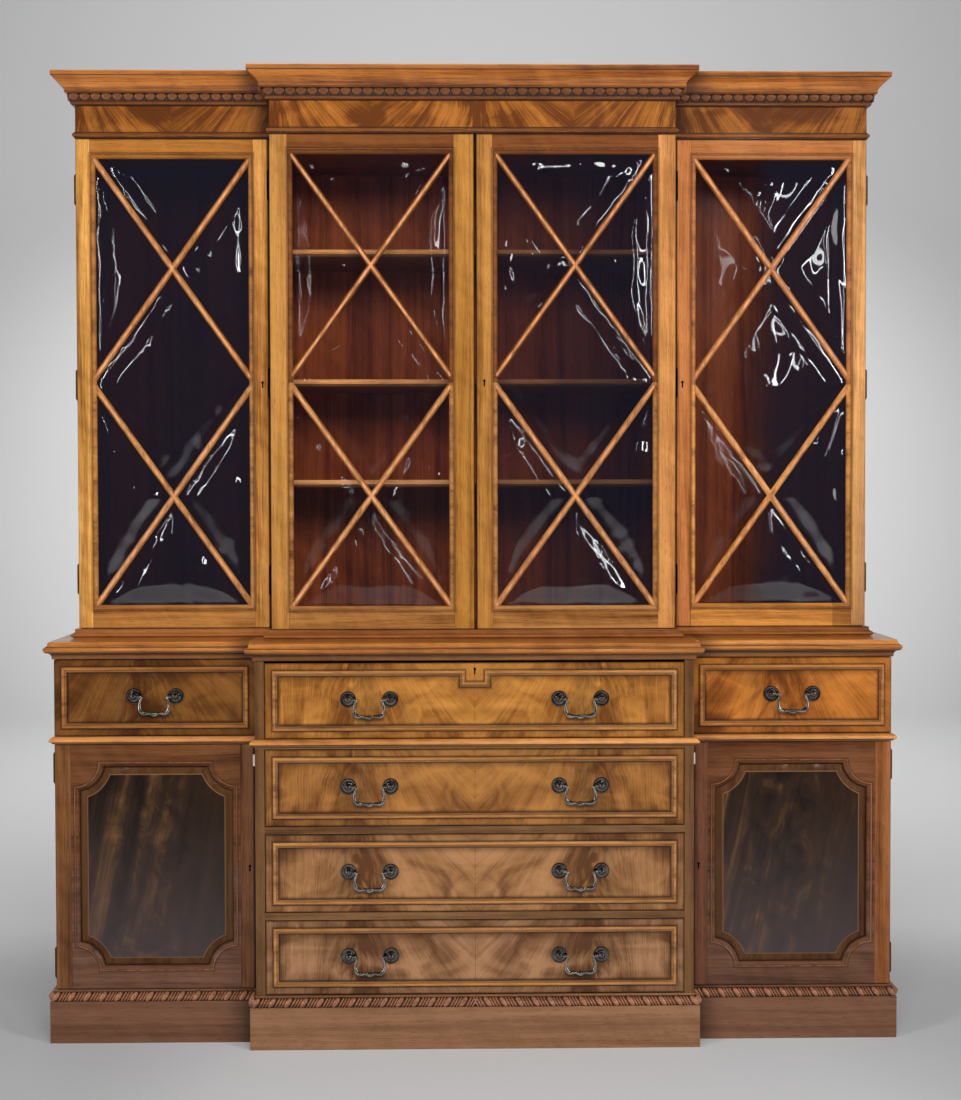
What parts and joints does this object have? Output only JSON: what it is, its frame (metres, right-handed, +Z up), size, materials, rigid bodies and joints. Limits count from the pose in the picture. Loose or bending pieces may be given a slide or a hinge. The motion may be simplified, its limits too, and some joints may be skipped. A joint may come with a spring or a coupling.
{
  "type": "breakfront bookcase",
  "caption": "Mahogany breakfront bookcase: lattice glazed doors over shelves, panelled cupboards either side of drawers with a fall-front desk drawer.",
  "frame": {"origin": "middle of the bounding box at floor level", "axes": "+Z up, -Y out of the doors, +X towards the right cupboard as the front is seen"},
  "size_m": [1.848, 0.47, 2.104],
  "materials": {
    "mahogany": "french polished",
    "red_mahogany": "french polished carved moulding",
    "flame_veneer": "polished figured veneer",
    "dark_panel": "dark polished crotch veneer",
    "inner_mahogany": "stained",
    "drawer_lining": "plain wood",
    "antique_brass": "dark aged brass",
    "bubble_glass": "clear panes, slightly domed"
  },
  "bodies": {
    "case": {"plinth": "mahogany", "base_board": "mahogany", "gadroon_mould": "red_mahogany", "lower_side_left": "mahogany", "lower_side_right": "mahogany", "lower_partition_left": "mahogany", "lower_partition_right": "mahogany", "lower_back": "inner_mahogany", "drawer_rail_lower": "mahogany", "drawer_rail_upper": "mahogany", "waist_board": "inner_mahogany", "waist_mould": "mahogany", "lower_top": "mahogany", "upper_base": "red_mahogany", "upper_side_left": "mahogany", "upper_side_right": "mahogany", "upper_partition_left": "inner_mahogany", "upper_partition_right": "inner_mahogany", "upper_back": "inner_mahogany", "upper_top_board": "inner_mahogany", "shelf_bottom": "inner_mahogany", "shelf_middle": "inner_mahogany", "shelf_top": "inner_mahogany", "frieze": "flame_veneer", "egg_and_dart_mould": "red_mahogany", "cornice": "red_mahogany"},
    "left_glazed_door": {"left_glazed_door_frame": "mahogany", "left_glazed_door_glass": "bubble_glass"},
    "centre_left_glazed_door": {"centre_left_glazed_door_frame": "mahogany", "centre_left_glazed_door_glass": "bubble_glass"},
    "centre_right_glazed_door": {"centre_right_glazed_door_frame": "mahogany", "centre_right_glazed_door_glass": "bubble_glass"},
    "right_glazed_door": {"right_glazed_door_frame": "mahogany", "right_glazed_door_glass": "bubble_glass"},
    "left_cupboard_door": {"left_cupboard_door_frame": "mahogany", "left_cupboard_door_panel": "dark_panel"},
    "right_cupboard_door": {"right_cupboard_door_frame": "mahogany", "right_cupboard_door_panel": "dark_panel"},
    "left_drawer": {"left_drawer_front": "flame_veneer", "left_drawer_box": "drawer_lining"},
    "right_drawer": {"right_drawer_front": "flame_veneer", "right_drawer_box": "drawer_lining"},
    "desk_drawer": {"desk_drawer_box": "drawer_lining"},
    "desk_fall": {"desk_fall": "flame_veneer"},
    "upper_centre_drawer": {"upper_centre_drawer_front": "flame_veneer", "upper_centre_drawer_box": "drawer_lining"},
    "middle_centre_drawer": {"middle_centre_drawer_front": "flame_veneer", "middle_centre_drawer_box": "drawer_lining"},
    "lower_centre_drawer": {"lower_centre_drawer_front": "flame_veneer", "lower_centre_drawer_box": "drawer_lining"},
    "left_drawer_bail": {"left_drawer_bail": "antique_brass"},
    "right_drawer_bail": {"right_drawer_bail": "antique_brass"},
    "desk_fall_bail_left": {"desk_fall_bail_left": "antique_brass"},
    "desk_fall_bail_right": {"desk_fall_bail_right": "antique_brass"},
    "upper_centre_drawer_bail_left": {"upper_centre_drawer_bail_left": "antique_brass"},
    "upper_centre_drawer_bail_right": {"upper_centre_drawer_bail_right": "antique_brass"},
    "middle_centre_drawer_bail_left": {"middle_centre_drawer_bail_left": "antique_brass"},
    "middle_centre_drawer_bail_right": {"middle_centre_drawer_bail_right": "antique_brass"},
    "lower_centre_drawer_bail_left": {"lower_centre_drawer_bail_left": "antique_brass"},
    "lower_centre_drawer_bail_right": {"lower_centre_drawer_bail_right": "antique_brass"}
  },
  "joints": [
    {"name": "left_glazed_door_hinge", "type": "hinge", "parent": "case", "child": "left_glazed_door", "pos_m": [-0.8758, -0.01975, 1.42575], "axis": [0, 0, -1], "range_deg": [0, 110]},
    {"name": "centre_left_glazed_door_hinge", "type": "hinge", "parent": "case", "child": "centre_left_glazed_door", "pos_m": [-0.4453, -0.07975, 1.42575], "axis": [0, 0, -1], "range_deg": [0, 110]},
    {"name": "centre_right_glazed_door_hinge", "type": "hinge", "parent": "case", "child": "centre_right_glazed_door", "pos_m": [0.4453, -0.07975, 1.42575], "axis": [0, 0, 1], "range_deg": [0, 110]},
    {"name": "right_glazed_door_hinge", "type": "hinge", "parent": "case", "child": "right_glazed_door", "pos_m": [0.8758, -0.01975, 1.42575], "axis": [0, 0, 1], "range_deg": [0, 110]},
    {"name": "left_cupboard_door_hinge", "type": "hinge", "parent": "case", "child": "left_cupboard_door", "pos_m": [-0.9078, -0.13475, 0.38], "axis": [0, 0, -1], "range_deg": [0, 110]},
    {"name": "right_cupboard_door_hinge", "type": "hinge", "parent": "case", "child": "right_cupboard_door", "pos_m": [0.9078, -0.13475, 0.38], "axis": [0, 0, 1], "range_deg": [0, 110]},
    {"name": "left_drawer_slide", "type": "slide", "parent": "case", "child": "left_drawer", "axis": [0, -1, 0], "range_m": [0, 0.24]},
    {"name": "right_drawer_slide", "type": "slide", "parent": "case", "child": "right_drawer", "axis": [0, -1, 0], "range_m": [0, 0.24]},
    {"name": "desk_drawer_slide", "type": "slide", "parent": "case", "child": "desk_drawer", "axis": [0, -1, 0], "range_m": [0, 0.25]},
    {"name": "desk_fall_hinge", "type": "hinge", "parent": "desk_drawer", "child": "desk_fall", "pos_m": [0, -0.215, 0.664], "axis": [1, 0, 0], "range_deg": [0, 90]},
    {"name": "upper_centre_drawer_slide", "type": "slide", "parent": "case", "child": "upper_centre_drawer", "axis": [0, -1, 0], "range_m": [0, 0.3]},
    {"name": "middle_centre_drawer_slide", "type": "slide", "parent": "case", "child": "middle_centre_drawer", "axis": [0, -1, 0], "range_m": [0, 0.3]},
    {"name": "lower_centre_drawer_slide", "type": "slide", "parent": "case", "child": "lower_centre_drawer", "axis": [0, -1, 0], "range_m": [0, 0.3]},
    {"name": "left_drawer_bail_hinge", "type": "hinge", "parent": "left_drawer", "child": "left_drawer_bail", "pos_m": [-0.68775, -0.167, 0.7495], "axis": [-1, 0, 0], "range_deg": [0, 120]},
    {"name": "right_drawer_bail_hinge", "type": "hinge", "parent": "right_drawer", "child": "right_drawer_bail", "pos_m": [0.68775, -0.167, 0.7495], "axis": [-1, 0, 0], "range_deg": [0, 120]},
    {"name": "desk_fall_bail_left_hinge", "type": "hinge", "parent": "desk_fall", "child": "desk_fall_bail_left", "pos_m": [-0.2245, -0.227, 0.7475], "axis": [-1, 0, 0], "range_deg": [0, 120]},
    {"name": "desk_fall_bail_right_hinge", "type": "hinge", "parent": "desk_fall", "child": "desk_fall_bail_right", "pos_m": [0.2245, -0.227, 0.7475], "axis": [-1, 0, 0], "range_deg": [0, 120]},
    {"name": "upper_centre_bail_left_hinge", "type": "hinge", "parent": "upper_centre_drawer", "child": "upper_centre_drawer_bail_left", "pos_m": [-0.2245, -0.227, 0.56175], "axis": [-1, 0, 0], "range_deg": [0, 120]},
    {"name": "upper_centre_bail_right_hinge", "type": "hinge", "parent": "upper_centre_drawer", "child": "upper_centre_drawer_bail_right", "pos_m": [0.2245, -0.227, 0.56175], "axis": [-1, 0, 0], "range_deg": [0, 120]},
    {"name": "middle_centre_bail_left_hinge", "type": "hinge", "parent": "middle_centre_drawer", "child": "middle_centre_drawer_bail_left", "pos_m": [-0.2245, -0.227, 0.379], "axis": [-1, 0, 0], "range_deg": [0, 120]},
    {"name": "middle_centre_bail_right_hinge", "type": "hinge", "parent": "middle_centre_drawer", "child": "middle_centre_drawer_bail_right", "pos_m": [0.2245, -0.227, 0.379], "axis": [-1, 0, 0], "range_deg": [0, 120]},
    {"name": "lower_centre_bail_left_hinge", "type": "hinge", "parent": "lower_centre_drawer", "child": "lower_centre_drawer_bail_left", "pos_m": [-0.2245, -0.227, 0.19875], "axis": [-1, 0, 0], "range_deg": [0, 120]},
    {"name": "lower_centre_bail_right_hinge", "type": "hinge", "parent": "lower_centre_drawer", "child": "lower_centre_drawer_bail_right", "pos_m": [0.2245, -0.227, 0.19875], "axis": [-1, 0, 0], "range_deg": [0, 120]}
  ]
}
